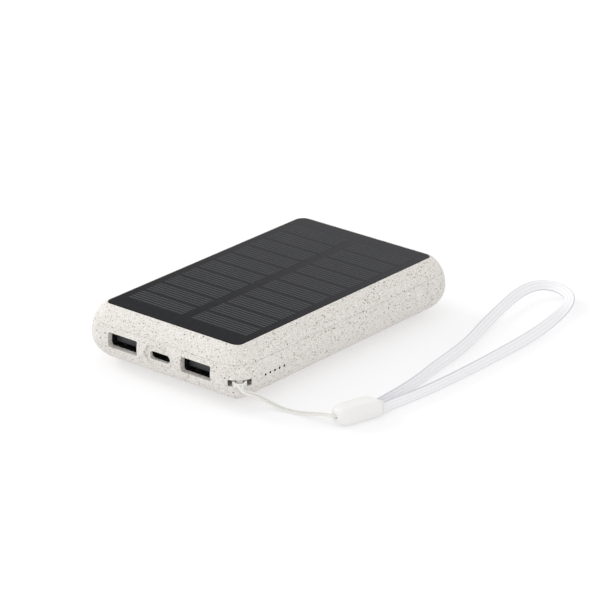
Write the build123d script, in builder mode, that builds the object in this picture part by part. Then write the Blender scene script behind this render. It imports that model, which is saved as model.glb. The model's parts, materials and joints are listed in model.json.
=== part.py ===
from build123d import *

import math
import os

os.makedirs("parts", exist_ok=True)

# Solar power bank with a wrist lanyard. Millimetres. X runs across the case, Y along it, Z up.
# The origin is at the middle of the case's underside. The ports face -Y, the charge lights
# face +X, and the lanyard post is in the corner between them.

# ---- Case ----
case_width = 68.8
case_length = 112.0
corner_radius = 9.4  # in plan, at the widest height
waist_height = 10.25  # height at which the case is widest
upper_bulge = 8.2  # horizontal half-axis of the ellipse above the waist
upper_rise = 10.75  # its vertical half-axis
lower_bulge = 14.0  # horizontal half-axis of the ellipse below the waist
foot_height = 2.05  # the lower ellipse ends here and a straight slope meets the floor
foot_inset = 9.3
rim_height = 20.4  # top of the thin rim round the solar panel
parting_height = 15.3  # seam between the two shells
seam_width = 0.12
seam_depth = 0.12
wall = 2.0
cavity_floor = 2.8
cavity_roof = 16.6
lip_gap = 0.15
lip_wall = 1.2
lip_drop = 1.3
corner_x = case_width / 2 - corner_radius
corner_y = case_length / 2 - corner_radius

# ---- Solar panel ----
panel_width = 57.2
panel_length = 100.0
panel_top = 20.5
panel_corner = 2.8
panel_gap = 0.15
recess_floor = 18.3
glue_thickness = 0.3
glue_strip = 5.0
glue_width = panel_width - 2.0
glue_length = panel_length - 2.0
panel_board_thickness = 1.2
cell_thickness = 0.25
cell_rows = 10
cell_pitch = 8.69
cell_length = 7.99
cell_width = 23.5
cell_column_x = 13.65
cell_middle_y = 0.42
wire_window = (12.0, 10.0)
wire_window_y = -41.0
wire_window_corner = 1.0

# ---- Ports ----
port_height = 10.8
port_setback = 0.6
port_front = -case_length / 2 + wall + port_setback  # front faces of the sockets, behind the wall
usb_a_x = 15.68
usb_a_opening = (12.56, 5.1)
usb_a_opening_corner = 0.6
usb_a_shell = (13.1, 5.72)
usb_a_depth = 14.0
usb_sheet = 0.3
usb_c_height = 10.3
usb_c_opening = (8.6, 2.8)
usb_c_recess = (12.2, 6.4)
usb_c_recess_height = 10.6
usb_c_recess_depth = 0.8
usb_c_shell = (8.94, 3.26)
usb_c_depth = 7.3

# ---- Charge lights and power button ----
light_count = 5
light_pitch = 2.3
light_middle_y = -38.9
light_height = 10.1
light_hole = 0.75
light_x = 29.2
light_package = (1.8, 1.6)
light_lens_radius = 0.6
light_lens_length = 0.8
light_lens_rounding = 0.4
button_y = -39.0
button_size = (9.0, 3.5)
button_gap = 0.2
button_proud = 0.4
button_rounding = 0.35
flange_size = (10.6, 4.8)
flange_thickness = 0.8
flange_front = -31.7

# ---- Main circuit board ----
board_size = (60.4, 21.0)
board_middle_y = -41.5
board_corner = 5.0
board_gap = 0.4  # round the lanyard post's boss
board_thickness = 1.2
board_top = port_height - usb_a_shell[1] / 2
board_bottom = board_top - board_thickness
screw_places = [(-26.0, -49.6), (-26.0, -33.6), (24.4, -33.6)]
screw_hole = 0.8
screw_clearance = 1.1
screw_boss = 2.4
screw_head = (1.7, 1.1)
screw_cross = (2.2, 0.45, 0.6)
screw_tip_gap = 0.6

# ---- Battery ----
cell_pack = (52.0, 76.0)
cell_pack_y = 10.0
cell_pack_height = 5.2
cell_pack_corner = 2.0
pack_tape = 0.5
between_tape = 0.2
lower_cell_floor = cavity_floor + pack_tape
upper_cell_floor = lower_cell_floor + cell_pack_height + between_tape
upper_cell_top = upper_cell_floor + cell_pack_height
pack_front = cell_pack_y - cell_pack[1] / 2
tape_size = (36.0, 60.0)
cell_tape_size = (44.0, 68.0)
foam_size = (30.0, 50.0)
pouch_rounding = 1.2
tab_x = 9.0
tab_width = 4.0
tab_thickness = 0.15
tab_inset = 1.8  # from each cell's face to the end of the tab
guard_size = (34.0, 3.8)
guard_height = 6.6
guard_thickness = 0.8
guard_chip = (3.0, 2.4, 0.7)
guard_chip_places = [(-4.0, guard_height), (3.0, guard_height)]

# ---- Lanyard ----
post_angle = -43.0  # direction of the post from the corner's axis
post_reach = 8.1
post_radius = 1.3
pocket_radius = 3.8
pocket_floor = 8.3
pocket_roof = 10.5
pocket_wall = 1.6
post_x = corner_x + post_reach * math.cos(math.radians(post_angle))
post_y = -corner_y + post_reach * math.sin(math.radians(post_angle))
cord_diameter = 0.9
cord_spacing = 1.0  # between the middles of its two legs
hitch_size = 2.0  # from the post's axis to the straight runs of the loop round it
hitch_height = 9.4
clasp_middle = (64.5, -33.8)
clasp_angle = 74.5
clasp_size = (16.2, 8.0, 6.2)
clasp_corner = 2.6
clasp_edge = 2.0
strap_width = 3.7
strap_thickness = 1.1
strap_lift = 0.1

# The thin cord is one loop: its two legs run together from the clasp to the post, and the loop
# goes round the post. These points are midway between the legs. The last number of each is the
# tilt of one leg over the other: 0 where they lie side by side, 90 where one is above the other.
cord_middle = [
    (62.50, -41.10, 3.30, 0),
    (61.30, -43.00, 3.30, 0),
    (58.80, -42.70, 2.90, 0),
    (55.60, -42.30, 2.10, 0),
    (52.20, -42.50, 1.30, 0),
    (48.60, -43.20, 0.75, 0),
    (44.90, -43.85, 0.55, 0),
    (41.70, -44.60, 0.85, 10),
    (39.30, -45.40, 1.70, 25),
    (37.50, -46.80, 3.00, 40),
    (36.40, -48.50, 4.50, 50),
    (35.60, -50.50, 5.80, 55),
    (35.10, -52.50, 6.80, 45),
    (34.50, -54.60, 7.80, 20),
    (33.85, -54.85, 9.40, 0),
]

# The wrist strap stands on its edge on the floor: out from the clasp, round its far end and back.
strap_route = [
    (64.3, -28.2),
    (64.9, -25.4),
    (64.3, -20.0),
    (63.9, -12.0),
    (62.9, -1.7),
    (61.1, 8.3),
    (59.9, 17.5),
    (58.4, 27.4),
    (56.2, 36.4),
    (53.4, 45.0),
    (50.8, 54.5),
    (48.0, 65.0),
    (46.1, 73.5),
    (45.6, 80.5),
    (46.9, 85.6),
    (50.6, 88.2),
    (55.4, 88.2),
    (60.2, 86.2),
    (64.0, 82.4),
    (66.5, 77.0),
    (68.2, 69.0),
    (69.7, 58.0),
    (70.3, 46.0),
    (70.2, 34.0),
    (70.4, 21.0),
    (70.2, 7.0),
    (69.8, -5.0),
    (68.9, -14.5),
    (68.0, -21.0),
    (68.2, -25.4),
    (67.6, -28.9),
]


def side_section(plane, shrink, low, high, foot):
    """Cross-section of the case's edge, outward from a corner's axis, drawn in by shrink.

    The section is flat at high. Below low it slopes in to the floor where foot is set,
    and is flat at low otherwise.
    """
    lower_axes = (lower_bulge - shrink, waist_height - shrink)
    upper_axes = (upper_bulge - shrink, upper_rise - shrink)
    lower_middle = (corner_radius - lower_bulge, waist_height)
    upper_middle = (corner_radius - upper_bulge, waist_height)
    start = math.degrees(math.asin((low - waist_height) / lower_axes[1]))
    end = math.degrees(math.asin((high - waist_height) / upper_axes[1]))
    with BuildSketch(plane) as section:
        with BuildLine():
            lower_curve = EllipticalCenterArc(lower_middle, *lower_axes, start_angle=start, arc_size=-start)
            upper_curve = EllipticalCenterArc(upper_middle, *upper_axes, start_angle=0, arc_size=end)
            underside = [(corner_radius - foot_inset, 0), (0, 0)] if foot else [(0, low)]
            Polyline(lower_curve @ 0, *underside, (0, high), upper_curve @ 1)
        make_face()
    return section.sketch


def case_body(shrink, low, high, foot=False):
    """The whole rounded slab of the case, drawn in all round by shrink."""
    floor = 0 if foot else low
    bounds = (shrink, low, high, foot)
    long_side = side_section(Plane((corner_x, 0, 0), (1, 0, 0), (0, -1, 0)), *bounds)
    short_side = side_section(Plane((0, corner_y, 0), (0, 1, 0), (1, 0, 0)), *bounds)
    corner = side_section(Plane((corner_x, corner_y, 0), (1, 0, 0), (0, -1, 0)), *bounds)
    with BuildPart() as body:
        with BuildSketch(Plane.XY.offset(floor)):
            Rectangle(corner_x, corner_y, align=(Align.MIN, Align.MIN))
        extrude(amount=high - floor)
        extrude(long_side, amount=-corner_y)
        extrude(short_side, amount=corner_x)
        revolve(corner, axis=Axis((corner_x, corner_y, 0), (0, 0, 1)), revolution_arc=90)
        mirror(about=Plane.YZ)
        mirror(about=Plane.XZ)
    return body.part


def bend_radii(points):
    """The largest arcs that a route's straight runs allow, one for each of its corners."""
    places = [Vector(*point) for point in points]
    radii = []
    for before, here, after in zip(places, places[1:], places[2:]):
        arriving = here - before
        leaving = after - here
        half_turn = math.radians(arriving.get_angle(leaving)) / 2
        radii.append(0.45 * min(arriving.length, leaving.length) / math.tan(half_turn))
    return radii


def cord(points, diameter):
    """A round cord or wire of straight runs joined by tangent arcs."""
    with BuildPart() as piece:
        with BuildLine() as path:
            FilletPolyline(*points, radius=bend_radii(points))
        route = path.wire()
        with BuildSketch(Plane(route @ 0, z_dir=route % 0)):
            Circle(diameter / 2)
        sweep(path=route)
    return piece, route.length


def doubled_route(middle):
    """The whole loop of cord: along one leg, round the post and back along the other leg."""
    first_leg = []
    second_leg = []
    for index, (x, y, z, tilt) in enumerate(middle):
        before = middle[max(0, index - 1)]
        after = (middle + [(post_x, post_y)])[index + 1]
        heading = math.atan2(after[1] - before[1], after[0] - before[0])
        sideways = cord_spacing / 2 * math.cos(math.radians(tilt))
        rise = cord_spacing / 2 * math.sin(math.radians(tilt))
        step = (sideways * math.sin(heading), -sideways * math.cos(heading))
        first_leg.append((x + step[0], y + step[1], z + rise))
        second_leg.append((x - step[0], y - step[1], z - rise))
    turn = math.radians(post_angle)
    loop = []
    for out, aside in [(1, 0.25), (1, 1), (-1, 1), (-1, -1), (1, -1), (1, -0.25)]:
        x = hitch_size * (out * math.cos(turn) - aside * math.sin(turn))
        y = hitch_size * (out * math.sin(turn) + aside * math.cos(turn))
        loop.append((post_x + x, post_y + y, hitch_height))
    return first_leg + loop + second_leg[::-1]


def report_cord(name, points, section_area, volume, length):
    """Print a cord's length, its radii, and its volume beside that of its length."""
    radii = ", ".join(f"{radius:.1f}" for radius in bend_radii(points))
    print(f"{name}: length {length:.1f}, volume {volume:.2f} for {section_area * length:.2f}")
    print(f"  radii {radii}")


# ---- Bodies that the shells are cut from ----
outer_body = case_body(0, foot_height, rim_height, foot=True)
inner_body = case_body(wall, cavity_floor, cavity_roof)
seam_core = case_body(seam_depth, foot_height, rim_height)
lip_outer = case_body(wall + lip_gap, cavity_floor, cavity_roof)
lip_inner = case_body(wall + lip_gap + lip_wall, cavity_floor + lip_wall, cavity_roof)

# Room inside the lower shell, less the bosses for the board's screws and the lanyard post.
with BuildPart() as lower_room:
    add(inner_body)
    with BuildSketch(Plane.XY.offset(cavity_floor)):
        with Locations(*screw_places):
            Circle(screw_boss)
    extrude(amount=board_bottom - cavity_floor, mode=Mode.SUBTRACT)
    with BuildSketch(Plane.XY.offset(cavity_floor)):
        with Locations((post_x, post_y)):
            Circle(pocket_radius + pocket_wall)
    extrude(amount=pocket_roof + pocket_wall - cavity_floor, mode=Mode.SUBTRACT)

with BuildPart() as seam_ring:
    with BuildSketch(Plane.XY.offset(parting_height - seam_width / 2)):
        Rectangle(case_width + wall, case_length + wall)
    extrude(amount=seam_width)
    add(seam_core, mode=Mode.SUBTRACT)

# ---- Lower shell: all the openings are in it ----
with BuildPart() as lower_shell:
    add(outer_body)
    split(bisect_by=Plane.XY.offset(parting_height), keep=Keep.BOTTOM)
    add(lower_room.part, mode=Mode.SUBTRACT)
    add(seam_ring.part, mode=Mode.SUBTRACT)
    # Plug openings in the front wall
    with BuildSketch(Plane.XZ.offset(case_length / 2 - 2 * wall)):
        with Locations((-usb_a_x, port_height), (usb_a_x, port_height)):
            RectangleRounded(*usb_a_opening, usb_a_opening_corner)
        with Locations((0, usb_c_height)):
            SlotOverall(*usb_c_opening)
    extrude(amount=3 * wall, mode=Mode.SUBTRACT)
    with BuildSketch(Plane.XZ.offset(case_length / 2 - usb_c_recess_depth)):
        with Locations((0, usb_c_recess_height)):
            SlotOverall(*usb_c_recess)
    extrude(amount=wall, mode=Mode.SUBTRACT)
    # Pinholes over the charge lights
    with BuildSketch(Plane.YZ.offset(case_width / 2 - 2 * wall)):
        with Locations((light_middle_y, light_height)):
            with GridLocations(light_pitch, 0, light_count, 1):
                Circle(light_hole / 2)
    extrude(amount=3 * wall, mode=Mode.SUBTRACT)
    # Opening for the power button
    with BuildSketch(Plane.YZ.offset(-case_width / 2 - wall)):
        with Locations((button_y, waist_height)):
            SlotOverall(button_size[0] + 2 * button_gap, button_size[1] + 2 * button_gap)
    extrude(amount=3 * wall, mode=Mode.SUBTRACT)
    # Channel round the lanyard post, open to the outside on both sides of it
    with BuildSketch(Plane.XY.offset(pocket_floor)):
        with Locations((post_x, post_y)):
            Circle(pocket_radius)
            Circle(post_radius, mode=Mode.SUBTRACT)
    extrude(amount=pocket_roof - pocket_floor, mode=Mode.SUBTRACT)
    # Pilot holes for the board's screws
    with BuildSketch(Plane.XY.offset(cavity_floor)):
        with Locations(*screw_places):
            Circle(screw_hole)
    extrude(amount=board_bottom - cavity_floor, mode=Mode.SUBTRACT)

# ---- Upper shell: the panel's seat, the wire window and the lip that locates the lower shell ----
with BuildPart() as lip:
    add(lip_outer)
    add(lip_inner, mode=Mode.SUBTRACT)
    split(bisect_by=Plane.XY.offset(parting_height - lip_drop), keep=Keep.TOP)
    split(bisect_by=Plane.XY.offset(parting_height), keep=Keep.BOTTOM)

with BuildPart() as upper_shell:
    add(outer_body)
    split(bisect_by=Plane.XY.offset(parting_height), keep=Keep.TOP)
    add(lip_inner, mode=Mode.SUBTRACT)
    add(seam_ring.part, mode=Mode.SUBTRACT)
    add(lip.part)
    with BuildSketch(Plane.XY.offset(recess_floor)):
        RectangleRounded(panel_width + 2 * panel_gap, panel_length + 2 * panel_gap, panel_corner)
    extrude(amount=wall + rim_height - recess_floor, mode=Mode.SUBTRACT)
    with BuildSketch(Plane.XY.offset(cavity_roof - wall)):
        with Locations((0, wire_window_y)):
            RectangleRounded(*wire_window, wire_window_corner)
    extrude(amount=2 * wall + recess_floor - cavity_roof, mode=Mode.SUBTRACT)

# ---- Solar panel: glue, board, cells and the clear cover over them ----
board_floor = recess_floor + glue_thickness
cell_floor = board_floor + panel_board_thickness

with BuildPart() as panel_adhesive:
    with BuildSketch(Plane.XY.offset(recess_floor)):
        Rectangle(glue_width, glue_length)
        Rectangle(glue_width - 2 * glue_strip, glue_length - 2 * glue_strip, mode=Mode.SUBTRACT)
    extrude(amount=glue_thickness)

with BuildPart() as panel_board:
    with BuildSketch(Plane.XY.offset(board_floor)):
        RectangleRounded(panel_width, panel_length, panel_corner)
    extrude(amount=panel_board_thickness)

with BuildPart() as solar_cells:
    with BuildSketch(Plane.XY.offset(cell_floor)):
        with Locations((0, cell_middle_y)):
            with GridLocations(2 * cell_column_x, cell_pitch, 2, cell_rows):
                Rectangle(cell_width, cell_length)
    extrude(amount=cell_thickness)

with BuildPart() as panel_cover:
    with BuildSketch(Plane.XY.offset(cell_floor)):
        RectangleRounded(panel_width, panel_length, panel_corner)
    extrude(amount=panel_top - cell_floor)
    add(solar_cells.part, mode=Mode.SUBTRACT)

# ---- Battery: two flat pouch cells, stacked ----
def pouch_cell(floor):
    """One pouch cell, lying flat, with rounded edges."""
    with BuildPart() as pouch:
        with BuildSketch(Plane.XY.offset(floor)):
            with Locations((0, cell_pack_y)):
                RectangleRounded(*cell_pack, cell_pack_corner)
        extrude(amount=cell_pack_height)
        fillet(pouch.edges().group_by(Axis.Z)[0] + pouch.edges().group_by(Axis.Z)[-1], pouch_rounding)
    return pouch


def flat_pad(width, length, floor, thickness):
    """A flat pad of tape or foam above, below or between the pouch cells."""
    with BuildPart() as pad:
        with BuildSketch(Plane.XY.offset(floor)):
            with Locations((0, cell_pack_y)):
                Rectangle(width, length)
        extrude(amount=thickness)
    return pad


battery_cell_lower = pouch_cell(lower_cell_floor)
battery_cell_upper = pouch_cell(upper_cell_floor)
battery_tape = flat_pad(*tape_size, cavity_floor, pack_tape)
cell_tape = flat_pad(*cell_tape_size, lower_cell_floor + cell_pack_height, between_tape)
battery_pad = flat_pad(*foam_size, upper_cell_top, cavity_roof - upper_cell_top)

tab_floor = lower_cell_floor + tab_inset
tab_height = upper_cell_top - tab_inset - tab_floor
with BuildPart() as cell_tabs:
    with BuildSketch(Plane.XZ.offset(-pack_front)):
        with Locations((0, tab_floor + tab_height / 2)):
            with GridLocations(2 * tab_x, 0, 2, 1):
                Rectangle(tab_width, tab_height)
    extrude(amount=tab_thickness)

guard_front = pack_front - tab_thickness - guard_thickness
with BuildPart() as protection_board:
    with BuildSketch(Plane.XZ.offset(-pack_front + tab_thickness)):
        with Locations((0, guard_height)):
            Rectangle(*guard_size)
    extrude(amount=guard_thickness)

with BuildPart() as protection_chips:
    with BuildSketch(Plane.XZ.offset(-guard_front)):
        with Locations(*guard_chip_places):
            Rectangle(guard_chip[0], guard_chip[1])
    extrude(amount=guard_chip[2])

# ---- Main board and what is soldered to it ----
with BuildPart() as main_board:
    with BuildSketch(Plane.XY.offset(board_bottom)):
        with Locations((0, board_middle_y)):
            RectangleRounded(*board_size, board_corner)
        with Locations(*screw_places):
            Circle(screw_clearance, mode=Mode.SUBTRACT)
        with Locations((post_x, post_y)):
            Circle(pocket_radius + pocket_wall + board_gap, mode=Mode.SUBTRACT)
    extrude(amount=board_thickness)

with BuildPart() as board_screws:
    with BuildSketch(Plane.XY.offset(cavity_floor + screw_tip_gap)):
        with Locations(*screw_places):
            Circle(screw_hole)
    extrude(amount=board_top - cavity_floor - screw_tip_gap)
    with BuildSketch(Plane.XY.offset(board_top)):
        with Locations(*screw_places):
            Circle(screw_head[0])
    extrude(amount=screw_head[1])
    with BuildSketch(Plane.XY.offset(board_top + screw_head[1])):
        with Locations(*screw_places):
            Rectangle(screw_cross[0], screw_cross[1])
            Rectangle(screw_cross[1], screw_cross[0])
    extrude(amount=-screw_cross[2], mode=Mode.SUBTRACT)


def socket_plane(depth):
    """Upright plane across the front of the sockets, the given depth behind their front faces."""
    return Plane.XZ.offset(-port_front - depth)


# A USB-A socket is a folded sheet shell with two springs in its floor, an insulator with a
# tongue, and four contacts on the tongue's upper face.
usb_a_base = 2.6
usb_a_outer_corner = 0.6
usb_a_inner_corner = 0.3
usb_a_contact = (1.0, 0.2, 7.5)
usb_a_contact_gap = 1.0  # from the tongue's end
usb_a_contact_steps = (-3.5, -1.0, 1.0, 3.5)
usb_a_tongue_gap = 0.9
usb_a_tongue = (11.1, 1.84)
usb_a_tongue_drop = 0.33
usb_a_spring = (1.8, 4.5, 0.5)
usb_a_spring_x = 3.1
usb_a_spring_gap = 2.2


def usb_a_parts(x):
    """The shell, tongue and contacts of the USB-A socket whose middle is at x."""
    inside = (usb_a_shell[0] - 2 * usb_sheet, usb_a_shell[1] - 2 * usb_sheet)
    tongue_height = port_height - usb_a_tongue_drop
    spring_height = port_height - inside[1] / 2 + usb_a_spring[2] / 2
    with BuildPart() as shell:
        with BuildSketch(socket_plane(0)):
            with Locations((x, port_height)):
                RectangleRounded(*usb_a_shell, usb_a_outer_corner)
                RectangleRounded(*inside, usb_a_inner_corner, mode=Mode.SUBTRACT)
        extrude(amount=-usb_a_depth)
        with BuildSketch(socket_plane(usb_a_spring_gap)):
            with Locations((x - usb_a_spring_x, spring_height), (x + usb_a_spring_x, spring_height)):
                Rectangle(usb_a_spring[0], usb_a_spring[2])
        extrude(amount=-usb_a_spring[1])
    with BuildPart() as tongue:
        with BuildSketch(socket_plane(usb_a_depth - usb_a_base)):
            with Locations((x, port_height)):
                RectangleRounded(*inside, usb_a_inner_corner)
        extrude(amount=-usb_a_base)
        with BuildSketch(socket_plane(usb_a_tongue_gap)):
            with Locations((x, tongue_height)):
                Rectangle(*usb_a_tongue)
        extrude(amount=usb_a_tongue_gap + usb_a_base - usb_a_depth)
    with BuildPart() as contacts:
        with BuildSketch(socket_plane(usb_a_tongue_gap + usb_a_contact_gap)):
            contact_height = tongue_height + (usb_a_tongue[1] + usb_a_contact[1]) / 2
            with Locations(*[(x + step, contact_height) for step in usb_a_contact_steps]):
                Rectangle(usb_a_contact[0], usb_a_contact[1])
        extrude(amount=-usb_a_contact[2])
    return shell, tongue, contacts


usb_a_left_shell, usb_a_left_tongue, usb_a_left_contacts = usb_a_parts(-usb_a_x)
usb_a_right_shell, usb_a_right_tongue, usb_a_right_contacts = usb_a_parts(usb_a_x)

# The middle socket stands on a riser, which brings its mouth up beside the others.
usb_c_base = 1.6
usb_c_tongue_gap = 1.3
usb_c_tongue = (6.69, 0.7)
usb_c_contact = (0.25, 0.1, 3.4)
usb_c_contact_gap = 0.7
usb_c_contact_pitch = 0.5
usb_c_contact_count = 12
usb_c_riser_width = 5.6
usb_c_riser_inset = 0.5
usb_c_inside = (usb_c_shell[0] - 2 * usb_sheet, usb_c_shell[1] - 2 * usb_sheet)

with BuildPart() as usb_c_socket_shell:
    with BuildSketch(socket_plane(0)):
        with Locations((0, usb_c_height)):
            SlotOverall(*usb_c_shell)
            SlotOverall(*usb_c_inside, mode=Mode.SUBTRACT)
    extrude(amount=-usb_c_depth)

with BuildPart() as usb_c_socket_tongue:
    with BuildSketch(socket_plane(usb_c_depth - usb_c_base)):
        with Locations((0, usb_c_height)):
            SlotOverall(*usb_c_inside)
    extrude(amount=-usb_c_base)
    with BuildSketch(socket_plane(usb_c_tongue_gap)):
        with Locations((0, usb_c_height)):
            Rectangle(*usb_c_tongue)
    extrude(amount=usb_c_tongue_gap + usb_c_base - usb_c_depth)

with BuildPart() as usb_c_contacts:
    with BuildSketch(socket_plane(usb_c_tongue_gap + usb_c_contact_gap)):
        with Locations((0, usb_c_height)):
            contact_rows = usb_c_tongue[1] + usb_c_contact[1]
            with GridLocations(usb_c_contact_pitch, contact_rows, usb_c_contact_count, 2):
                Rectangle(usb_c_contact[0], usb_c_contact[1])
    extrude(amount=-usb_c_contact[2])

with BuildPart() as usb_c_riser:
    riser_height = usb_c_height - usb_c_shell[1] / 2 - board_top
    with BuildSketch(socket_plane(usb_c_riser_inset)):
        with Locations((0, board_top + riser_height / 2)):
            Rectangle(usb_c_riser_width, riser_height)
    extrude(amount=2 * usb_c_riser_inset - usb_c_depth)

# Side-firing charge lights, each with a domed lens behind its pinhole.
with BuildPart() as charge_leds:
    with BuildSketch(Plane.XY.offset(board_top)):
        with Locations((light_x, light_middle_y)):
            with GridLocations(0, light_pitch, 1, light_count):
                Rectangle(*light_package)
    extrude(amount=light_height + light_package[1] / 2 - board_top)
    with BuildSketch(Plane.YZ.offset(light_x + light_package[0] / 2)):
        with Locations((light_middle_y, light_height)):
            with GridLocations(light_pitch, 0, light_count, 1):
                Circle(light_lens_radius)
    extrude(amount=light_lens_length)
    fillet(charge_leds.faces().group_by(Axis.X)[-1].edges(), light_lens_rounding)


def chips(places, width, length, height, corner):
    """Packages of one size, standing on the main board."""
    with BuildPart() as package:
        with BuildSketch(Plane.XY.offset(board_top)):
            with Locations(*places):
                RectangleRounded(width, length, corner)
        extrude(amount=height)
    return package


capacitor_places = [(16.5, -37.4), (16.5, -35.0), (20.6, -37.4)]
resistor_places = [(x, y) for x in (-9.2, -7.0, -4.8) for y in (-37.0, -35.2)]
power_ic = chips([(7.5, -36.0)], width=5.0, length=5.0, height=0.9, corner=0.1)
boost_inductor = chips([(-18.0, -35.6)], width=6.6, length=6.6, height=3.2, corner=1.2)
capacitors = chips(capacitor_places, width=3.2, length=1.6, height=1.5, corner=0.15)
chip_resistors = chips(resistor_places, width=1.6, length=0.8, height=0.5, corner=0.05)

# ---- Power button, the switch behind it and the plunger between them ----
switch_size = (3.4, 6.0, 4.2)
switch_x = -28.0
plunger_radius = 0.9
plunger_gap = 0.15
plunger_hole_extra = 0.6
flange_back = flange_front + flange_thickness

with BuildPart() as tactile_switch:
    with BuildSketch(Plane.XY.offset(board_top)):
        with Locations((switch_x, button_y)):
            Rectangle(switch_size[0], switch_size[1])
    extrude(amount=switch_size[2])
    with BuildSketch(Plane.YZ.offset(switch_x - switch_size[0])):
        with Locations((button_y, waist_height)):
            Circle(plunger_radius + plunger_gap)
    extrude(amount=switch_size[0] + plunger_hole_extra, mode=Mode.SUBTRACT)

with BuildPart() as switch_plunger:
    with BuildSketch(Plane.YZ.offset(flange_back)):
        with Locations((button_y, waist_height)):
            Circle(plunger_radius)
    extrude(amount=switch_x - flange_back)

with BuildPart() as power_button:
    with BuildSketch(Plane.YZ.offset(flange_front)):
        with Locations((button_y, waist_height)):
            SlotOverall(*flange_size)
    extrude(amount=flange_thickness)
    with BuildSketch(Plane.YZ.offset(-case_width / 2 - button_proud)):
        with Locations((button_y, waist_height)):
            SlotOverall(*button_size)
    extrude(amount=case_width / 2 + button_proud + flange_front)
    fillet(power_button.faces().sort_by(Axis.X)[0].edges(), button_rounding)

# ---- Wires that the case holds all the way ----
battery_wire_x = 12.0
battery_wire_diameter = 1.0
solar_wire_x = 2.4
solar_wire_diameter = 0.9
battery_wire_route = [(-28.95, 5.9), (-30.15, 5.9), (-30.15, 10.3), (-34.0, 10.3), (-34.0, board_top)]
solar_wire_route = [(-41.0, board_floor), (-41.0, 13.4), (-37.2, 11.6), (-37.2, board_top)]


def wire(x, route, diameter):
    """An insulated wire that lies in one upright plane at x."""
    return cord([(x, y, z) for y, z in route], diameter)[0]


battery_wire_red = wire(battery_wire_x, battery_wire_route, battery_wire_diameter)
battery_wire_black = wire(-battery_wire_x, battery_wire_route, battery_wire_diameter)
solar_wire_red = wire(solar_wire_x, solar_wire_route, solar_wire_diameter)
solar_wire_black = wire(-solar_wire_x, solar_wire_route, solar_wire_diameter)

# ---- Lanyard: the thin cord on its post, the clasp and the flat wrist strap ----
cord_route = doubled_route(cord_middle)
lanyard_cord, cord_length = cord(cord_route, cord_diameter)

with BuildPart() as wrist_strap:
    strap_height = strap_lift + strap_width / 2
    strap_points = [(x, y, strap_height) for x, y in strap_route]
    with BuildLine() as strap_path:
        FilletPolyline(*strap_points, radius=bend_radii(strap_points))
    strap_line = strap_path.wire()
    with BuildSketch(Plane(strap_line @ 0, x_dir=(0, 0, 1), z_dir=strap_line % 0)):
        Rectangle(strap_width, strap_thickness)
    sweep(path=strap_line)

clasp_direction = (math.cos(math.radians(clasp_angle)), math.sin(math.radians(clasp_angle)), 0)
with BuildPart() as lanyard_clasp:
    with BuildSketch(Plane((*clasp_middle, 0), x_dir=clasp_direction, z_dir=(0, 0, 1))):
        RectangleRounded(clasp_size[0], clasp_size[1], clasp_corner)
    extrude(amount=clasp_size[2])
    fillet(lanyard_clasp.edges().group_by(Axis.Z)[0] + lanyard_clasp.edges().group_by(Axis.Z)[-1], clasp_edge)
    add(wrist_strap.part, mode=Mode.SUBTRACT)
    add(lanyard_cord.part, mode=Mode.SUBTRACT)

cord_area = math.pi * cord_diameter**2 / 4
report_cord("lanyard_cord", cord_route, cord_area, lanyard_cord.part.volume, cord_length)
strap_area = strap_width * strap_thickness
report_cord("wrist_strap", strap_points, strap_area, wrist_strap.part.volume, strap_line.length)
print(f"lanyard post at {post_x:.3f}, {post_y:.3f}")

pieces = {
    "upper_shell": upper_shell,
    "lower_shell": lower_shell,
    "panel_adhesive": panel_adhesive,
    "panel_board": panel_board,
    "solar_cells": solar_cells,
    "panel_cover": panel_cover,
    "solar_wire_red": solar_wire_red,
    "solar_wire_black": solar_wire_black,
    "battery_tape": battery_tape,
    "battery_cell_lower": battery_cell_lower,
    "cell_tape": cell_tape,
    "battery_cell_upper": battery_cell_upper,
    "battery_pad": battery_pad,
    "cell_tabs": cell_tabs,
    "protection_board": protection_board,
    "protection_chips": protection_chips,
    "battery_wire_red": battery_wire_red,
    "battery_wire_black": battery_wire_black,
    "main_board": main_board,
    "board_screws": board_screws,
    "usb_a_left_shell": usb_a_left_shell,
    "usb_a_left_tongue": usb_a_left_tongue,
    "usb_a_left_contacts": usb_a_left_contacts,
    "usb_a_right_shell": usb_a_right_shell,
    "usb_a_right_tongue": usb_a_right_tongue,
    "usb_a_right_contacts": usb_a_right_contacts,
    "usb_c_shell": usb_c_socket_shell,
    "usb_c_tongue": usb_c_socket_tongue,
    "usb_c_contacts": usb_c_contacts,
    "usb_c_riser": usb_c_riser,
    "charge_leds": charge_leds,
    "power_ic": power_ic,
    "boost_inductor": boost_inductor,
    "capacitors": capacitors,
    "chip_resistors": chip_resistors,
    "tactile_switch": tactile_switch,
    "switch_plunger": switch_plunger,
    "power_button": power_button,
    "lanyard_cord": lanyard_cord,
    "lanyard_clasp": lanyard_clasp,
    "wrist_strap": wrist_strap,
}
for label, piece in pieces.items():
    piece.part.label = label
    export_step(piece.part, f"parts/{label}.step")
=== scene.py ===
import json
import math

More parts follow.
